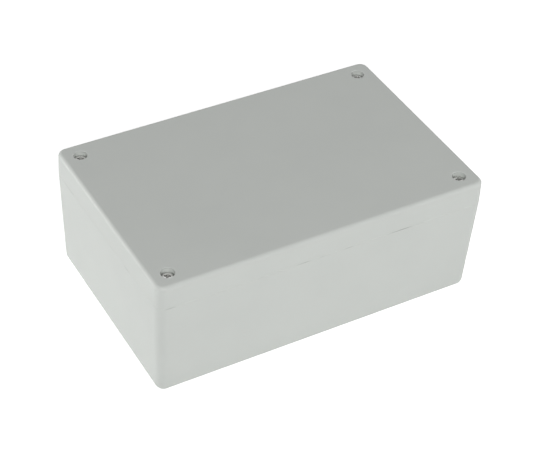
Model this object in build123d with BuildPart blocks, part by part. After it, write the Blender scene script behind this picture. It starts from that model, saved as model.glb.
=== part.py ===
from build123d import *
import os

# Moulded ABS enclosure: a deep base, a shallow lid with four sunk screws, and a seal between them.
# Millimetres. The origin is the centre of the underside, +X runs along the length, +Z is up.

# Outside of the closed box, measured on the parting plane where lid and base meet
length = 156.0
width = 100.0
height = 60.0
lid_height = 11.3
corner_radius = 4.0
base_draft = 1.7
lid_draft = 0.7
base_edge_radius = 3.7
lid_edge_radius = 1.8
parting_edge_break = 0.1

# Wall sections
wall = 2.8
floor_thickness = 2.8
lid_thickness = 2.8
floor_chamfer = 1.0

# Seal: a tongue on the rim of the base, and a groove with a gasket in the lid
tongue_setback = 0.2
tongue_width = 1.3
tongue_height = 2.2
tongue_clearance = 0.2
gasket_thickness = 1.6
gasket_side_clearance = 0.05
gasket_gap = 0.05
lid_lip = 1.4

# Corner pillars, which the lid's screws go into
screw_inset = 8.3
pillar_radius = 5.4
shoulder_radius = 4.5

# M3 cheese-head screws with a cross recess, sunk in counterbores
screw_radius = 1.5
screw_reach = 4.7
head_radius = 2.75
head_height = 2.2
head_sunk_depth = 1.8
counterbore_clearance = 0.25
counterbore_edge_break = 0.15
screw_hole_clearance = 0.2
recess_radius = 1.5
recess_wing_width = 0.8
recess_depth = 1.4
recess_taper = 10.0

# Brass thread inserts
insert_radius = 2.1
insert_length = 6.0
insert_sunk_depth = 0.2
insert_side_clearance = 0.02
thread_clearance = 0.1
insert_hole_spare_depth = 1.2

# Bosses on the floor for a circuit board
board_inset_x = 20.0
board_inset_y = 17.5
boss_radius = 3.5
boss_height = 5.0
pilot_radius = 1.25
pilot_depth = 6.5

# Levels and places that follow from the sizes above
base_height = height - lid_height
screw_spacing_x = length - 2 * screw_inset
screw_spacing_y = width - 2 * screw_inset
board_spacing_x = length - 2 * board_inset_x
board_spacing_y = width - 2 * board_inset_y
boss_top = floor_thickness + boss_height
counterbore_radius = head_radius + counterbore_clearance
counterbore_depth = head_sunk_depth + head_height
head_seat = height - counterbore_depth
screw_length = head_seat - base_height + screw_reach
tongue_inner = tongue_setback
tongue_outer = tongue_inner + tongue_width
groove_inner = tongue_inner - tongue_clearance
groove_outer = tongue_outer + tongue_clearance
groove_depth = tongue_height + gasket_gap + gasket_thickness
insert_top = base_height - insert_sunk_depth
parting_plane = Plane.XY.offset(base_height)
corners = {
    "front_left": (-1, -1),
    "front_right": (1, -1),
    "back_left": (-1, 1),
    "back_right": (1, 1),
}


def side_faces(part):
    """The upright faces of a prism, which take the draft of the mould."""
    return part.faces().filter_by(Plane.XY, reverse=True)


def bottom_edges(part):
    return part.faces().sort_by(Axis.Z)[0].edges()


def top_edges(part):
    return part.faces().sort_by(Axis.Z)[-1].edges()


def upright_edges(part):
    """The corner edges of a drafted prism."""
    return part.edges().filter_by(Plane.XY, reverse=True)


def innermost(shapes):
    """The four that lie nearest to the middle, one for each corner pillar."""
    return shapes.sort_by_distance((0, 0, 0))[:4]


def outermost(shapes):
    """Those furthest out along the length and across the width, two for each pillar."""
    along = shapes.group_by(Axis.X)
    across = shapes.group_by(Axis.Y)
    return along[0] + along[-1] + across[0] + across[-1]


def stepped_outline(outward=0.0):
    """The inside outline of the wall with sharp corners, stepped round the corner pillars."""
    inset = wall - outward
    notch = screw_inset + pillar_radius - outward
    with BuildSketch() as outline:
        Rectangle(length - 2 * inset, width - 2 * inset)
        with GridLocations(length, width, 2, 2):
            Rectangle(2 * notch, 2 * notch, mode=Mode.SUBTRACT)
    return outline.sketch


def seal_outline(outward):
    """The stepped outline, moved outward and rounded.

    The tongue, the groove, the gasket and the lid's lip all follow this one line.
    """
    with BuildSketch() as outline:
        add(stepped_outline(outward))
        fillet(innermost(outline.vertices()), pillar_radius - outward)
        fillet(outermost(outline.vertices()), shoulder_radius + outward)
    return outline.sketch


def circles(part, radius):
    """The part's circular edges of one radius."""
    round_edges = part.edges().filter_by(GeomType.CIRCLE)
    return round_edges.filter_by(lambda edge: abs(edge.radius - radius) < 1e-6)


os.makedirs("parts", exist_ok=True)

# Hollow of the base: the pillars are what it leaves standing in the corners
with BuildPart() as base_hollow:
    with BuildSketch(parting_plane):
        add(stepped_outline())
    extrude(amount=floor_thickness - base_height)
    draft(side_faces(base_hollow), parting_plane, -base_draft)
    fillet(innermost(upright_edges(base_hollow)), pillar_radius)
    fillet(outermost(upright_edges(base_hollow)), shoulder_radius)
    chamfer(bottom_edges(base_hollow), floor_chamfer)

# Base: drafted box, hollow, tongue on the rim, board bosses and holes for the inserts
with BuildPart() as base_shell:
    with BuildSketch(parting_plane):
        Rectangle(length, width)
    extrude(amount=-base_height)
    draft(side_faces(base_shell), parting_plane, -base_draft)
    fillet(upright_edges(base_shell), corner_radius)
    fillet(bottom_edges(base_shell), base_edge_radius)
    chamfer(top_edges(base_shell), parting_edge_break)
    add(base_hollow.part, mode=Mode.SUBTRACT)
    with BuildSketch(parting_plane):
        add(seal_outline(tongue_outer))
        add(seal_outline(tongue_inner), mode=Mode.SUBTRACT)
    extrude(amount=tongue_height)
    with BuildSketch(Plane.XY.offset(floor_thickness)):
        with GridLocations(board_spacing_x, board_spacing_y, 2, 2):
            Circle(boss_radius)
    extrude(amount=boss_height)
    with Locations(Plane.XY.offset(boss_top)):
        with GridLocations(board_spacing_x, board_spacing_y, 2, 2):
            Hole(pilot_radius, pilot_depth)
    with Locations(parting_plane):
        with GridLocations(screw_spacing_x, screw_spacing_y, 2, 2):
            Hole(
                insert_radius + insert_side_clearance,
                insert_sunk_depth + insert_length + insert_hole_spare_depth,
            )
base_shell.part.label = "base_shell"
export_step(base_shell.part, "parts/base_shell.step")

# Hollow of the lid, inside the lip that stands within the groove
with BuildPart() as lid_hollow:
    with BuildSketch(parting_plane):
        add(seal_outline(groove_inner - lid_lip))
    extrude(amount=lid_height - lid_thickness)

# Lid: drafted cap, hollow, seal groove and counterbored screw holes
with BuildPart() as lid_shell:
    with BuildSketch(parting_plane):
        Rectangle(length, width)
    extrude(amount=lid_height)
    draft(side_faces(lid_shell), parting_plane, lid_draft)
    fillet(upright_edges(lid_shell), corner_radius)
    fillet(top_edges(lid_shell), lid_edge_radius)
    chamfer(bottom_edges(lid_shell), parting_edge_break)
    add(lid_hollow.part, mode=Mode.SUBTRACT)
    with BuildSketch(parting_plane):
        add(seal_outline(groove_outer))
        add(seal_outline(groove_inner), mode=Mode.SUBTRACT)
    extrude(amount=groove_depth, mode=Mode.SUBTRACT)
    with Locations(Plane.XY.offset(height)):
        with GridLocations(screw_spacing_x, screw_spacing_y, 2, 2):
            CounterBoreHole(
                screw_radius + screw_hole_clearance, counterbore_radius, counterbore_depth
            )
    counterbore_rims = circles(lid_shell, counterbore_radius).group_by(Axis.Z)[-1]
    chamfer(counterbore_rims, counterbore_edge_break)
lid_shell.part.label = "lid_shell"
export_step(lid_shell.part, "parts/lid_shell.step")

# Gasket: a flat cord that lies on the floor of the lid's groove, above the tongue
with BuildPart() as lid_gasket:
    with BuildSketch(parting_plane.offset(tongue_height + gasket_gap)):
        add(seal_outline(groove_outer - gasket_side_clearance))
        add(seal_outline(groove_inner + gasket_side_clearance), mode=Mode.SUBTRACT)
    extrude(amount=gasket_thickness)
lid_gasket.part.label = "lid_gasket"
export_step(lid_gasket.part, "parts/lid_gasket.step")

for corner, (side_x, side_y) in corners.items():
    axis_x = side_x * screw_spacing_x / 2
    axis_y = side_y * screw_spacing_y / 2
    screw_axis = Axis((axis_x, axis_y, 0), (0, 0, 1))

    # Cross recess: two crossed slots that narrow downwards
    head_top = Plane((axis_x, axis_y, head_seat + head_height))
    with BuildPart() as cross_recess:
        with BuildSketch(head_top):
            Rectangle(2 * recess_radius, recess_wing_width)
            Rectangle(recess_wing_width, 2 * recess_radius)
        extrude(amount=-recess_depth)
        draft(side_faces(cross_recess), head_top, -recess_taper)

    # Screw: cheese head over a plain shank, turned about the screw's axis
    upright = Plane(origin=(axis_x, axis_y, head_seat), x_dir=(1, 0, 0), z_dir=(0, -1, 0))
    with BuildPart() as lid_screw:
        with BuildSketch(upright):
            with BuildLine():
                Polyline(
                    (0, head_height),
                    (0, -screw_length),
                    (screw_radius, -screw_length),
                    (screw_radius, 0),
                    (head_radius, 0),
                    (head_radius, head_height),
                    close=True,
                )
            make_face()
        revolve(axis=screw_axis)
        add(cross_recess.part, mode=Mode.SUBTRACT)
    lid_screw.part.label = f"lid_screw_{corner}"
    export_step(lid_screw.part, f"parts/{lid_screw.part.label}.step")

    # Insert: a plain sleeve, sunk a little below the top of its pillar
    with BuildPart() as thread_insert:
        with BuildSketch(Plane((axis_x, axis_y, insert_top))):
            Circle(insert_radius)
            Circle(screw_radius + thread_clearance, mode=Mode.SUBTRACT)
        extrude(amount=-insert_length)
    thread_insert.part.label = f"thread_insert_{corner}"
    export_step(thread_insert.part, f"parts/{thread_insert.part.label}.step")
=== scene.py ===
import bmesh
import bpy
import math
from mathutils import Matrix, Vector


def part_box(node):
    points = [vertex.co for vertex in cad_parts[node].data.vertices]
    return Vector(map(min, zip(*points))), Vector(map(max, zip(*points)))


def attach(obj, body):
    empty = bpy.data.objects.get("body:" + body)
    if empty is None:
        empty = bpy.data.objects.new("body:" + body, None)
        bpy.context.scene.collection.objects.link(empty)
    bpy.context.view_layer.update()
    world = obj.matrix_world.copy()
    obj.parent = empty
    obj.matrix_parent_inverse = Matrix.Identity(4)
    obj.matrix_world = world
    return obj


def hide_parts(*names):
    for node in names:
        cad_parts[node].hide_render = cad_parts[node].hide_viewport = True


# A closed ABS enclosure on a pale floor, seen from above its near left corner.
# Metres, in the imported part's frame: the underside lies on z = 0 and +X runs along the length.
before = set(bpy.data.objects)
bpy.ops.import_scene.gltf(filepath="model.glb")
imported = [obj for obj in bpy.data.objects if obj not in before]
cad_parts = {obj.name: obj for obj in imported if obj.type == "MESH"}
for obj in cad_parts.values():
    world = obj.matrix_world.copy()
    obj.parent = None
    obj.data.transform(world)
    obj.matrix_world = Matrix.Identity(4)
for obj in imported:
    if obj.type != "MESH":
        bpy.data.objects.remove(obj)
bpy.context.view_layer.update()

MM = 0.001
CORNERS = ("front_left", "front_right", "back_left", "back_right")

# Camera, as solved from the outline in the photograph
VIEW_AZIMUTH = math.radians(-31.49)
VIEW_ELEVATION = math.radians(40.34)
VIEW_ROLL = math.radians(3.52)
VIEW_DISTANCE = 720.2 * MM
VIEW_TARGET = Vector((-0.12 * MM, -3.2 * MM, 29.07 * MM))
LENS = 109.33
SENSOR_WIDTH = 36.0

# Light levels, at which a plain colour renders about as it is written
SKY_LEVEL = 0.04
FLOOR_COLOUR = (0.95, 0.95, 0.95)
FLOOR_SEEN_LEVEL = 0.6
FLOOR_HALF_SIZE = 4.0
LAMP_TARGET = (0.0, 0.0, 0.03)
LAMPS = {
    "key_lamp": {"place": (-0.6, -1.1, 0.85), "width": 0.8, "height": 0.6, "power": 13.3},
    "top_lamp": {"place": (0.15, 0.25, 1.3), "width": 0.8, "height": 0.8, "power": 4.0},
    "left_lamp": {"place": (-0.65, 0.5, 0.08), "width": 0.4, "height": 0.14, "power": 3.0},
    "right_lamp": {"place": (0.6, -0.3, 0.16), "width": 0.4, "height": 0.3, "power": 1.3},
    "back_lamp": {"place": (0.3, 0.9, 0.12), "width": 0.6, "height": 0.22, "power": 0.6},
}

# Colours, linear
ABS_GREY = (0.606, 0.63, 0.603)
ABS_GREY_DEEP = (0.592, 0.616, 0.59)
STEEL_GREY = (0.58, 0.58, 0.565)
BRASS_YELLOW = (0.72, 0.52, 0.22)
RUBBER_BLACK = (0.05, 0.05, 0.05)

# Painted shadow in the seam between lid and base: it comes and goes, and where its level is below 0
# there is none
SEAM_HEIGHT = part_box("lid_shell")[0].z
SEAM_CORE = 0.1 * MM
SEAM_FADE = 0.22 * MM
SEAM_DARKEST = 0.55
SEAM_FAINTEST = -1.5 * SEAM_DARKEST
SEAM_PATTERN_SIZE = 16 * MM
SEAM_PATTERN_SHIFT = 29 * MM
UPRIGHT_FADE = (0.75, 0.95)

# Surfaces: sizes of their patterns, depths of their bumps, and ranges of roughness
NOISE_MIDDLE = (0.3, 0.7)
ABS_GRAIN_SIZE = 0.45 * MM
ABS_FLOW_SIZE = 24 * MM
ABS_GRAIN_DEPTH = 0.02 * MM
ABS_GRAIN_STRENGTH = 0.6
ABS_ROUGHNESS = (0.50, 0.60)
ABS_IOR = 1.5
POLISH_SIZE = 0.25 * MM
POLISH_DEPTH = 0.005 * MM
POLISH_STRENGTH = 0.5
POLISH_SPREAD = 0.06
METAL_PATCH_SIZE = 1.5 * MM
STEEL_ROUGHNESS = 0.42
STEEL_PATCH_SHADE = 0.85
BRASS_ROUGHNESS = 0.3
BRASS_PATCH_SHADE = 0.8
SKIN_SIZE = 0.5 * MM
SKIN_DEPTH = 0.03 * MM
SKIN_STRENGTH = 0.5
RUBBER_ROUGHNESS = (0.6, 0.75)
RUBBER_PATCH_SHADE = 0.7

# Edges that turn by more than this angle are shaded sharp
SHARP_ANGLE = math.radians(35)

# Screws: M3 thread, domed pan head, cross recess
THREAD_RADIUS = 1.5 * MM
THREAD_ROOT_RADIUS = 1.2 * MM
THREAD_PITCH = 0.5 * MM
THREAD_RUNOUT = 0.9 * MM
HEAD_HEIGHT = 2.2 * MM
HEAD_SIDE_HEIGHT = 1.3 * MM
HEAD_DOME_POWER = 3.0
HEAD_EDGE_BREAK = 0.1 * MM
RECESS_RADIUS = 1.5 * MM
RECESS_WING_WIDTH = 0.9 * MM
RECESS_HUB_CORNER = 0.7 * MM
RECESS_HUB_SHOULDER = 0.2 * MM
RECESS_DEPTH = 1.8 * MM
RECESS_TAPER = 0.55
RECESS_TURNS_DEGREES = {"front_left": -31, "front_right": -18, "back_left": -26, "back_right": -40}

# Inserts: two knurled bands with a waist between them, threaded inside
INSERT_BORE_RADIUS = 1.6 * MM
INSERT_BORE_ROOT_RADIUS = 1.78 * MM
INSERT_WAIST_RADIUS = 1.85 * MM
INSERT_WAIST_LENGTH = 1.2 * MM
INSERT_CHAMFER = 0.2 * MM
KNURL_DEPTH = 0.15 * MM
KNURL_TEETH = 30

# Gasket: a cord that follows the wall and steps round each screw
CORD_WIDTH = 1.6 * MM
CORD_EDGE_RADIUS = 0.55 * MM
PILLAR_TURN = 4.55 * MM
SHOULDER_TURN = 5.35 * MM


def shade_smooth(mesh):
    mesh.polygons.foreach_set("use_smooth", [True] * len(mesh.polygons))
    mesh.set_sharp_from_angle(angle=SHARP_ANGLE)


def mesh_object(name, vertices, faces):
    mesh = bpy.data.meshes.new(name)
    mesh.from_pydata(vertices, [], faces)
    mesh.validate()
    shade_smooth(mesh)
    obj = bpy.data.objects.new(name, mesh)
    bpy.context.scene.collection.objects.link(obj)
    return obj


def strip_faces(rows, columns, closed=False):
    """Quads over rows of points that each close on themselves, and the rows too if closed."""
    faces = []
    for row in range(rows if closed else rows - 1):
        low = row * columns
        high = (row + 1) % rows * columns
        for column in range(columns):
            beside = (column + 1) % columns
            faces.append((low + column, low + beside, high + beside, high + column))
    return faces


def thread_wave(height, angle):
    """From 0 at the root to 1 at the crest of a rounded thread, at one height and angle."""
    turn = height / THREAD_PITCH - angle / math.tau
    return 0.5 - 0.5 * math.cos(math.tau * turn)


def node_axis(low, high):
    return Vector(((low.x + high.x) / 2, (low.y + high.y) / 2, 0.0))


def around(axis, radius, height, angle):
    return axis + Vector((radius * math.cos(angle), radius * math.sin(angle), height))


def cross_cutter(axis, top, first_arm):
    """A tapered cross with a wide hub that cuts the recess into a screw's head."""
    half = RECESS_WING_WIDTH / 2
    hub = RECESS_HUB_CORNER
    shoulder = hub + RECESS_HUB_SHOULDER
    arm = [(hub, -hub), (shoulder, -half), (RECESS_RADIUS, -half)]
    arm += [(RECESS_RADIUS, half), (shoulder, half)]
    outline = []
    for quarter in range(4):
        turn = Matrix.Rotation(math.radians(first_arm + 90 * quarter), 2)
        outline += [turn @ Vector(point) for point in arm]
    above = 0.5 * MM
    vertices = []
    for height, scale in ((top + above, 1.0), (top, 1.0), (top - RECESS_DEPTH, RECESS_TAPER)):
        vertices += [axis + Vector((p.x * scale, p.y * scale, height)) for p in outline]
    count = len(outline)
    faces = [(lo, hi, hi + count, lo + count) for lo, hi in zip(range(count), [*range(1, count), 0])]
    faces += [tuple(index + count for index in face) for face in faces]
    faces += [tuple(range(count)), tuple(reversed(range(2 * count, 3 * count)))]
    cutter = mesh_object("cutter", vertices, faces)
    recalculate_normals(cutter)
    return cutter


def recalculate_normals(obj):
    work = bmesh.new()
    work.from_mesh(obj.data)
    bmesh.ops.recalc_face_normals(work, faces=work.faces)
    work.to_mesh(obj.data)
    work.free()


def subtract(obj, cutter):
    """Cuts one mesh from another and deletes the cutter."""
    modifier = obj.modifiers.new("cut", "BOOLEAN")
    modifier.operation = "DIFFERENCE"
    modifier.solver = "EXACT"
    modifier.object = cutter
    graph = bpy.context.evaluated_depsgraph_get()
    cut = bpy.data.meshes.new_from_object(obj.evaluated_get(graph))
    obj.modifiers.clear()
    obj.data = cut
    bpy.data.objects.remove(cutter)


def make_screw(corner):
    """A pan-head screw with a thread, in the place of the plain one."""
    node = f"lid_screw_{corner}"
    low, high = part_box(node)
    axis = node_axis(low, high)
    head_radius = (high.x - low.x) / 2
    seat = high.z - HEAD_HEIGHT
    columns = 32
    rows_per_pitch = 8
    rows = round((seat - low.z) / THREAD_PITCH * rows_per_pitch)
    vertices = []
    angles = [math.tau * column / columns for column in range(columns)]
    for row in range(rows + 1):
        height = low.z + (seat - low.z) * row / rows
        ends = min((height - low.z) / THREAD_PITCH, (seat - height) / THREAD_RUNOUT, 1.0)
        for angle in angles:
            rise = ends * thread_wave(height, angle)
            radius = THREAD_ROOT_RADIUS + rise * (THREAD_RADIUS - THREAD_ROOT_RADIUS)
            vertices.append(around(axis, radius, height, angle))
    head = [(head_radius - HEAD_EDGE_BREAK, seat), (head_radius, seat + HEAD_EDGE_BREAK)]
    dome_steps = 10
    for step in range(dome_steps):
        turn = step / dome_steps * math.pi / 2
        radius = head_radius * math.cos(turn) ** (2 / HEAD_DOME_POWER)
        rise = (HEAD_HEIGHT - HEAD_SIDE_HEIGHT) * math.sin(turn) ** (2 / HEAD_DOME_POWER)
        head.append((radius, seat + HEAD_SIDE_HEIGHT + rise))
    for radius, height in head:
        vertices += [around(axis, radius, height, angle) for angle in angles]
    faces = strip_faces(rows + 1 + len(head), columns)
    last = len(vertices) - columns
    vertices.append(axis + Vector((0, 0, high.z)))
    vertices.append(axis + Vector((0, 0, low.z)))
    crown = len(vertices) - 2
    tip = len(vertices) - 1
    for column in range(columns):
        beside = (column + 1) % columns
        faces.append((last + column, last + beside, crown))
        faces.append((beside, column, tip))
    screw = mesh_object(f"pan_head_screw_{corner}", vertices, faces)
    recalculate_normals(screw)
    subtract(screw, cross_cutter(axis, high.z, RECESS_TURNS_DEGREES[corner]))
    shade_smooth(screw.data)
    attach(screw, "lid")
    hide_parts(node)
    screw.data.materials.clear()
    screw.data.materials.append(steel)


def make_insert(corner):
    """A brass insert: knurled bands outside, a thread inside."""
    node = f"thread_insert_{corner}"
    low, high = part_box(node)
    axis = node_axis(low, high)
    outer = (high.x - low.x) / 2
    length = high.z - low.z
    tooth_dip = (0.0, 0.5, 1.0, 0.5)
    columns = len(tooth_dip) * KNURL_TEETH
    band = (length - INSERT_WAIST_LENGTH) / 2
    levels = [INSERT_CHAMFER, band - INSERT_CHAMFER, band, band + INSERT_WAIST_LENGTH]
    levels += [band + INSERT_WAIST_LENGTH + INSERT_CHAMFER, length - INSERT_CHAMFER]
    vertices = []
    angles = [math.tau * column / columns for column in range(columns)]
    vertices += [around(axis, INSERT_WAIST_RADIUS, low.z, angle) for angle in angles]
    for level in levels:
        waist = band <= level <= band + INSERT_WAIST_LENGTH
        for column, angle in enumerate(angles):
            dip = KNURL_DEPTH * tooth_dip[column % len(tooth_dip)]
            radius = INSERT_WAIST_RADIUS if waist else outer - dip
            vertices.append(around(axis, radius, low.z + level, angle))
    vertices += [around(axis, INSERT_WAIST_RADIUS, high.z, angle) for angle in angles]
    rows_per_pitch = 6
    bore_rows = round(length / THREAD_PITCH * rows_per_pitch)
    for row in range(bore_rows + 1):
        height = high.z - length * row / bore_rows
        for angle in angles:
            rise = thread_wave(height, angle)
            radius = INSERT_BORE_RADIUS + rise * (INSERT_BORE_ROOT_RADIUS - INSERT_BORE_RADIUS)
            vertices.append(around(axis, radius, height, angle))
    rows = len(vertices) // columns
    insert = mesh_object(f"brass_insert_{corner}", vertices, strip_faces(rows, columns, closed=True))
    recalculate_normals(insert)
    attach(insert, "base")
    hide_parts(node)
    insert.data.materials.append(brass)


def arc(centre, radius, start, end, steps=8):
    """Points and outward directions on an arc, with angles in degrees."""
    points = []
    for step in range(steps + 1):
        angle = math.radians(start + (end - start) * step / steps)
        direction = Vector((math.cos(angle), math.sin(angle)))
        points.append((Vector(centre) + radius * direction, direction))
    return points


def make_gasket():
    """The sealing cord in the lid's groove: one closed line that steps round the four screws."""
    low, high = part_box("lid_gasket")
    screw_low, screw_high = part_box("lid_screw_back_right")
    screw = node_axis(screw_low, screw_high)
    side = high.x - CORD_WIDTH / 2
    back = high.y - CORD_WIDTH / 2
    step_x = screw.x - PILLAR_TURN
    step_y = screw.y - PILLAR_TURN
    long_turn = (step_x - SHOULDER_TURN, back - SHOULDER_TURN)
    short_turn = (side - SHOULDER_TURN, step_y - SHOULDER_TURN)
    quarter = arc(short_turn, SHOULDER_TURN, 0, 90)
    inner_turn = arc((screw.x, screw.y), PILLAR_TURN, 270, 180)
    quarter += [(point, -direction) for point, direction in inner_turn]
    quarter += arc(long_turn, SHOULDER_TURN, 0, 90)
    line = []
    for flip_x, flip_y in ((1, 1), (-1, 1), (-1, -1), (1, -1)):
        corner = [
            (Vector((p.x * flip_x, p.y * flip_y)), Vector((d.x * flip_x, d.y * flip_y)))
            for p, d in quarter
        ]
        line += corner if flip_x == flip_y else reversed(corner)
    half = CORD_WIDTH / 2
    edge = CORD_EDGE_RADIUS
    section = [(half, high.z), (-half, high.z)]
    for point, _ in arc((edge - half, low.z + edge), edge, 180, 270, steps=4):
        section.append((point.x, point.y))
    for point, _ in arc((half - edge, low.z + edge), edge, 270, 360, steps=4):
        section.append((point.x, point.y))
    vertices = []
    for point, outward in line:
        for across, height in section:
            place = point + across * outward
            vertices.append((place.x, place.y, height))
    faces = strip_faces(len(line), len(section), closed=True)
    gasket = mesh_object("sealing_cord", vertices, faces)
    recalculate_normals(gasket)
    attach(gasket, "lid")
    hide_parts("lid_gasket")
    gasket.data.materials.append(rubber)


def material(name):
    """A node material that has only its shader, and what is needed to build on it."""
    new = bpy.data.materials.new(name)
    new.use_nodes = True
    nodes = new.node_tree.nodes
    return new, nodes, new.node_tree.links, nodes["Principled BSDF"]


def noise(nodes, links, size, detail=2.0, shift=0.0):
    """Noise in the object's own coordinates, with features of about one size, shifted along X."""
    place = nodes.new("ShaderNodeTexCoord")
    shifted = nodes.new("ShaderNodeVectorMath")
    shifted.operation = "SUBTRACT"
    shifted.inputs[1].default_value = (shift, 0.0, 0.0)
    links.new(place.outputs["Object"], shifted.inputs[0])
    pattern = nodes.new("ShaderNodeTexNoise")
    pattern.inputs["Scale"].default_value = 1.0 / size
    pattern.inputs["Detail"].default_value = detail
    links.new(shifted.outputs["Vector"], pattern.inputs["Vector"])
    return pattern.outputs["Fac"]


def remap(nodes, links, value, old, new):
    """Maps one range of a value to another, and holds it at the ends."""
    ranged = nodes.new("ShaderNodeMapRange")
    ranged.inputs["From Min"].default_value = old[0]
    ranged.inputs["From Max"].default_value = old[1]
    ranged.inputs["To Min"].default_value = new[0]
    ranged.inputs["To Max"].default_value = new[1]
    links.new(value, ranged.inputs["Value"])
    return ranged.outputs["Result"]


def spread(nodes, links, value, low, high):
    """Maps the middle of a noise to a range."""
    return remap(nodes, links, value, NOISE_MIDDLE, (low, high))


def calculate(nodes, links, operation, *values):
    """A maths node over one or two values."""
    node = nodes.new("ShaderNodeMath")
    node.operation = operation
    for value, socket in zip(values, node.inputs):
        links.new(value, socket)
    return node.outputs[0]


def scaled(nodes, links, value, factor, offset=0.0):
    multiply = nodes.new("ShaderNodeMath")
    multiply.operation = "MULTIPLY_ADD"
    multiply.inputs[1].default_value = factor
    multiply.inputs[2].default_value = offset
    links.new(value, multiply.inputs[0])
    return multiply.outputs[0]


def blend_colours(nodes, links, value, first, second):
    mix = nodes.new("ShaderNodeMix")
    mix.data_type = "RGBA"
    mix.inputs["A"].default_value = (*first, 1.0)
    mix.inputs["B"].default_value = (*second, 1.0)
    links.new(value, mix.inputs["Factor"])
    return mix.outputs["Result"]


def painted_seam_shadow(nodes, links, colour):
    """Paints the seam's shadow into a colour: darkens it along the seam of upright faces, in some
    stretches more than in others.
    """
    place = nodes.new("ShaderNodeTexCoord")
    parts = nodes.new("ShaderNodeSeparateXYZ")
    links.new(place.outputs["Object"], parts.inputs["Vector"])
    above_seam = scaled(nodes, links, parts.outputs["Z"], 1.0, -SEAM_HEIGHT)
    distance = calculate(nodes, links, "ABSOLUTE", above_seam)
    near = remap(nodes, links, distance, (SEAM_CORE, SEAM_FADE), (1.0, 0.0))
    pattern = noise(nodes, links, SEAM_PATTERN_SIZE, shift=SEAM_PATTERN_SHIFT)
    stretches = spread(nodes, links, pattern, SEAM_FAINTEST, SEAM_DARKEST)
    facing = nodes.new("ShaderNodeSeparateXYZ")
    links.new(place.outputs["Normal"], facing.inputs["Vector"])
    tilt = calculate(nodes, links, "ABSOLUTE", facing.outputs["Z"])
    upright = remap(nodes, links, tilt, UPRIGHT_FADE, (1.0, 0.0))
    shade = calculate(nodes, links, "MULTIPLY", near, stretches)
    shade = calculate(nodes, links, "MULTIPLY", shade, upright)
    mix = nodes.new("ShaderNodeMix")
    mix.data_type = "RGBA"
    mix.inputs["B"].default_value = (0.0, 0.0, 0.0, 1.0)
    links.new(colour, mix.inputs["A"])
    links.new(shade, mix.inputs["Factor"])
    return mix.outputs["Result"]


def add_bump(nodes, links, shader, value, depth, strength):
    bump = nodes.new("ShaderNodeBump")
    bump.inputs["Distance"].default_value = depth
    bump.inputs["Strength"].default_value = strength
    links.new(value, bump.inputs["Height"])
    links.new(bump.outputs["Normal"], shader.inputs["Normal"])


def moulded_abs(name):
    """Light grey ABS with the fine grain of a spark-eroded mould."""
    new, nodes, links, shader = material(name)
    grain = noise(nodes, links, ABS_GRAIN_SIZE, detail=3.0)
    flow = noise(nodes, links, ABS_FLOW_SIZE)
    tint = spread(nodes, links, flow, 0.0, 1.0)
    colour = blend_colours(nodes, links, tint, ABS_GREY, ABS_GREY_DEEP)
    # The seam's shadow is painted into the plastic's colour here
    links.new(painted_seam_shadow(nodes, links, colour), shader.inputs["Base Color"])
    links.new(spread(nodes, links, grain, *ABS_ROUGHNESS), shader.inputs["Roughness"])
    shader.inputs["IOR"].default_value = ABS_IOR
    add_bump(nodes, links, shader, grain, ABS_GRAIN_DEPTH, ABS_GRAIN_STRENGTH)
    return new


def shaded(colour, factor):
    return tuple(factor * level for level in colour)


def turned_metal(name, colour, patch_shade, roughness):
    """Metal with a fine uneven polish."""
    new, nodes, links, shader = material(name)
    polish = noise(nodes, links, POLISH_SIZE, detail=4.0)
    patches = noise(nodes, links, METAL_PATCH_SIZE)
    tint = spread(nodes, links, patches, 0.0, 1.0)
    mixed = blend_colours(nodes, links, tint, colour, shaded(colour, patch_shade))
    links.new(mixed, shader.inputs["Base Color"])
    shader.inputs["Metallic"].default_value = 1.0
    rough = spread(nodes, links, polish, roughness - POLISH_SPREAD, roughness + POLISH_SPREAD)
    links.new(rough, shader.inputs["Roughness"])
    add_bump(nodes, links, shader, polish, POLISH_DEPTH, POLISH_STRENGTH)
    return new


def soft_rubber(name):
    """Dull black rubber with a faint skin."""
    new, nodes, links, shader = material(name)
    skin = noise(nodes, links, SKIN_SIZE, detail=3.0)
    tint = spread(nodes, links, skin, 0.0, 1.0)
    faded = shaded(RUBBER_BLACK, RUBBER_PATCH_SHADE)
    links.new(blend_colours(nodes, links, tint, RUBBER_BLACK, faded), shader.inputs["Base Color"])
    links.new(spread(nodes, links, skin, *RUBBER_ROUGHNESS), shader.inputs["Roughness"])
    add_bump(nodes, links, shader, skin, SKIN_DEPTH, SKIN_STRENGTH)
    return new


def directly_seen(nodes, links):
    """1 for rays from the camera, and for those seen in metal or through glass."""
    path = nodes.new("ShaderNodeLightPath")
    seen = path.outputs["Is Camera Ray"]
    for ray in ("Is Glossy Ray", "Is Transmission Ray"):
        seen = calculate(nodes, links, "MAXIMUM", seen, path.outputs[ray])
    return seen


def make_floor():
    """A pale floor that looks white, and keeps the shadow."""
    size = FLOOR_HALF_SIZE
    vertices = [(-size, -size, 0), (size, -size, 0), (size, size, 0), (-size, size, 0)]
    floor = mesh_object("floor", vertices, [(0, 1, 2, 3)])
    new, nodes, links, shader = material("floor_white")
    shader.inputs["Base Color"].default_value = (*FLOOR_COLOUR, 1.0)
    shader.inputs["Roughness"].default_value = 1.0
    shader.inputs["Specular IOR Level"].default_value = 0.0
    shader.inputs["Emission Color"].default_value = (1.0, 1.0, 1.0, 1.0)
    seen = directly_seen(nodes, links)
    links.new(scaled(nodes, links, seen, FLOOR_SEEN_LEVEL), shader.inputs["Emission Strength"])
    floor.data.materials.append(new)


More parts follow.
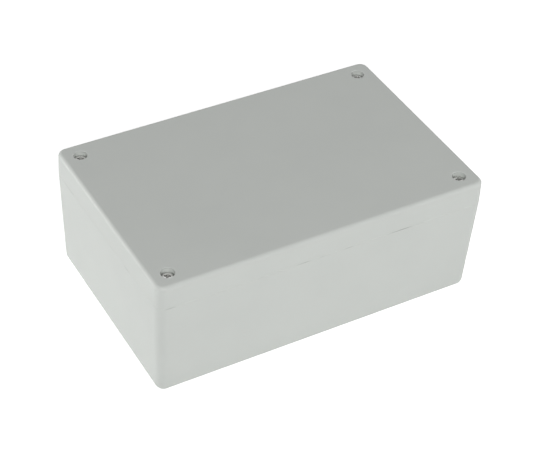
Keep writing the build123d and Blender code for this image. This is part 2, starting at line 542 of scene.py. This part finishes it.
def make_sky():
    """Even light from all round that looks white itself."""
    world = bpy.data.worlds.new("studio")
    bpy.context.scene.world = world
    world.use_nodes = True
    nodes, links = world.node_tree.nodes, world.node_tree.links
    background = nodes["Background"]
    background.inputs["Color"].default_value = (1.0, 1.0, 1.0, 1.0)
    seen = directly_seen(nodes, links)
    strength = scaled(nodes, links, seen, 1.0 - SKY_LEVEL, SKY_LEVEL)
    links.new(strength, background.inputs["Strength"])


def aim(obj, target, roll=0.0):
    """Turns a lamp or camera towards a point, then rolls it about its own axis."""
    direction = target - obj.location
    turn = direction.to_track_quat("-Z", "Y").to_matrix()
    obj.rotation_euler = (turn @ Matrix.Rotation(roll, 3, "Z")).to_euler()


def make_lamp(name, place, width, height, power):
    """A wide soft lamp that looks at the box."""
    light = bpy.data.lights.new(name, "AREA")
    light.shape = "RECTANGLE"
    light.size = width
    light.size_y = height
    light.energy = power
    lamp = bpy.data.objects.new(name, light)
    bpy.context.scene.collection.objects.link(lamp)
    lamp.location = place
    aim(lamp, Vector(LAMP_TARGET))


def make_camera():
    camera_data = bpy.data.cameras.new("camera")
    camera_data.lens = LENS
    camera_data.sensor_width = SENSOR_WIDTH
    camera = bpy.data.objects.new("camera", camera_data)
    bpy.context.scene.collection.objects.link(camera)
    level = math.cos(VIEW_ELEVATION)
    back = Vector(
        (level * math.sin(VIEW_AZIMUTH), -level * math.cos(VIEW_AZIMUTH), math.sin(VIEW_ELEVATION))
    )
    camera.location = VIEW_TARGET + VIEW_DISTANCE * back
    aim(camera, VIEW_TARGET, VIEW_ROLL)
    bpy.context.scene.camera = camera


abs_base = moulded_abs("abs_light_grey_base")
abs_lid = moulded_abs("abs_light_grey_lid")
steel = turned_metal("screw_steel", STEEL_GREY, STEEL_PATCH_SHADE, STEEL_ROUGHNESS)
brass = turned_metal("insert_brass", BRASS_YELLOW, BRASS_PATCH_SHADE, BRASS_ROUGHNESS)
rubber = soft_rubber("gasket_rubber")

for shell, plastic in (("base_shell", abs_base), ("lid_shell", abs_lid)):
    shell_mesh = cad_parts[shell].data
    shell_mesh.materials.clear()
    shell_mesh.materials.append(plastic)

for corner_name in CORNERS:
    make_screw(corner_name)
    make_insert(corner_name)
make_gasket()

make_floor()
make_sky()
for lamp_name, lamp_values in LAMPS.items():
    make_lamp(lamp_name, **lamp_values)
make_camera()
bpy.context.scene.view_settings.view_transform = "Standard"
